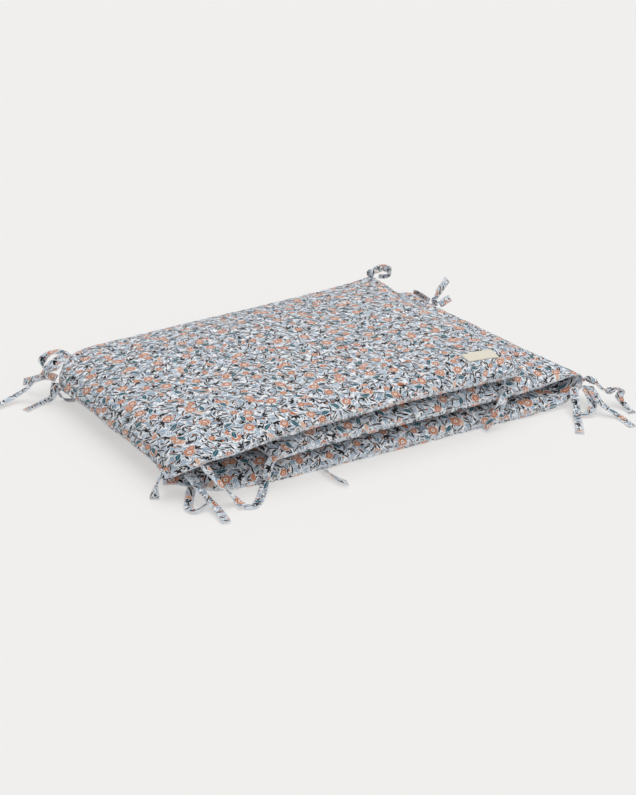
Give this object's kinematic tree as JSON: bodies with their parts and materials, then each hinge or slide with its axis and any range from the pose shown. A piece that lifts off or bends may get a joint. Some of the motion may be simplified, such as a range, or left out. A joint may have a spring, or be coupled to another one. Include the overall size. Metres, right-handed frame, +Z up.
{
  "type": "crib bumper",
  "caption": "Padded fabric crib bumper folded into a flat stack, with fabric tie straps at its corners and a blank sewn-on label.",
  "frame": {"origin": "middle of the flat underside of the bottom layer, on the surface that the stack rests on", "axes": "+X along the strip's length from the tall fold to the low fold, +Y from the front long edge to the back one, +Z up"},
  "size_m": [0.7401, 0.5815, 0.0842],
  "materials": {
    "printed_cotton": "matt woven cotton, small flower print",
    "label_tape": "matt woven tape"
  },
  "bodies": {
    "root": {"padded_strip": "printed_cotton", "knot_low_back": "printed_cotton", "knot_low_corner": "printed_cotton", "knot_low_front": "printed_cotton", "knot_tall_front": "printed_cotton", "knot_top_back": "printed_cotton", "tie_low_back_out": "printed_cotton", "tie_low_back_run": "printed_cotton", "tie_low_back_up": "printed_cotton", "tie_low_front_bow": "printed_cotton", "tie_low_front_down": "printed_cotton", "tie_low_front_drop": "printed_cotton", "tie_low_front_long": "printed_cotton", "tie_middle_back": "printed_cotton", "tie_middle_front": "printed_cotton", "tie_tall_back_long": "printed_cotton", "tie_tall_back_loop": "printed_cotton", "tie_tall_back_low": "printed_cotton", "tie_tall_back_tuck": "printed_cotton", "tie_tall_back_wide": "printed_cotton", "tie_tall_front_curl": "printed_cotton", "tie_tall_front_ear": "printed_cotton", "tie_tall_front_right": "printed_cotton", "tie_tall_front_wide": "printed_cotton", "tie_top_back_loop": "printed_cotton", "tie_top_front": "printed_cotton", "tie_under_front": "printed_cotton", "label": "label_tape"}
  },
  "joints": []
}
